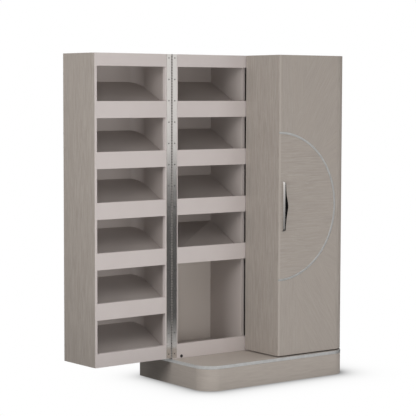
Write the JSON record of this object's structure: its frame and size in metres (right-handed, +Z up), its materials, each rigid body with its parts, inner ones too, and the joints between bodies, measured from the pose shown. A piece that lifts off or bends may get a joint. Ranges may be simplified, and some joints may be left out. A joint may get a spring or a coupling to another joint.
{
  "type": "shoe storage armoire",
  "caption": "Free-standing armoire on a rounded plinth: two deep hinged door boxes and a shallow cabinet, all fitted with sloping lipped shelves.",
  "frame": {"origin": "centre of the plinth's underside, on the floor", "axes": "+Z up, front towards -Y, +X to the right as seen from the front; rest is the left door open and the right door closed"},
  "size_m": [1.5596, 0.6409, 1.829],
  "materials": {
    "veneer": "grey-washed open-grain veneer, satin",
    "lacquer": "smooth greige satin lacquer",
    "trim_metal": "brushed silver trim",
    "hinge_steel": "nickel-plated continuous hinge",
    "handle_nickel": "polished nickel",
    "rubber": "matt black"
  },
  "bodies": {
    "cabinet": {"plinth_front": "veneer", "plinth_back": "veneer", "plinth_brace": "lacquer", "plinth_side_left": "veneer", "plinth_side_right": "veneer", "plinth_corner_left": "veneer", "plinth_corner_right": "veneer", "plinth_deck": "veneer", "plinth_band": "trim_metal", "cabinet_face_frame": "lacquer", "cabinet_back": "lacquer", "cabinet_top": "veneer", "cabinet_floor": "lacquer", "cabinet_divider": "lacquer", "cabinet_side_left": "veneer", "cabinet_side_right": "veneer", "bay_shelf_left_1": "lacquer", "bay_shelf_left_2": "lacquer", "bay_shelf_left_3": "lacquer", "bay_shelf_left_4": "lacquer", "bay_shelf_right_1": "lacquer", "bay_shelf_right_2": "lacquer", "bay_shelf_right_3": "lacquer", "bay_shelf_right_4": "lacquer", "bumper_left": "rubber", "bumper_right": "rubber", "left_hinge_cabinet_leaf": "hinge_steel", "left_hinge_pin": "hinge_steel", "right_hinge_cabinet_leaf": "hinge_steel", "right_hinge_pin": "hinge_steel"},
    "left_door": {"left_door_shell": "veneer", "left_door_face_frame": "lacquer", "left_door_side": "veneer", "left_door_top": "veneer", "left_door_bottom": "lacquer", "left_door_shelf_1": "lacquer", "left_door_shelf_2": "lacquer", "left_door_shelf_3": "lacquer", "left_door_shelf_4": "lacquer", "left_door_shelf_5": "lacquer", "left_door_shelf_6": "lacquer", "left_door_inlay": "trim_metal", "left_door_handle": "handle_nickel", "left_hinge_door_leaf": "hinge_steel"},
    "right_door": {"right_door_shell": "veneer", "right_door_face_frame": "lacquer", "right_door_side": "veneer", "right_door_top": "veneer", "right_door_bottom": "lacquer", "right_door_shelf_1": "lacquer", "right_door_shelf_2": "lacquer", "right_door_shelf_3": "lacquer", "right_door_shelf_4": "lacquer", "right_door_shelf_5": "lacquer", "right_door_shelf_6": "lacquer", "right_door_inlay": "trim_metal", "right_door_handle": "handle_nickel", "right_hinge_door_leaf": "hinge_steel"}
  },
  "joints": [
    {"name": "left_door_hinge", "type": "hinge", "parent": "cabinet", "child": "left_door", "pos_m": [-0.515, -0.0033, 0.987], "axis": [0, 0, 1], "range_deg": [0, 177.7]},
    {"name": "right_door_hinge", "type": "hinge", "parent": "cabinet", "child": "right_door", "pos_m": [0.515, -0.0033, 0.987], "axis": [0, 0, 1], "range_deg": [0, 177.7]}
  ]
}
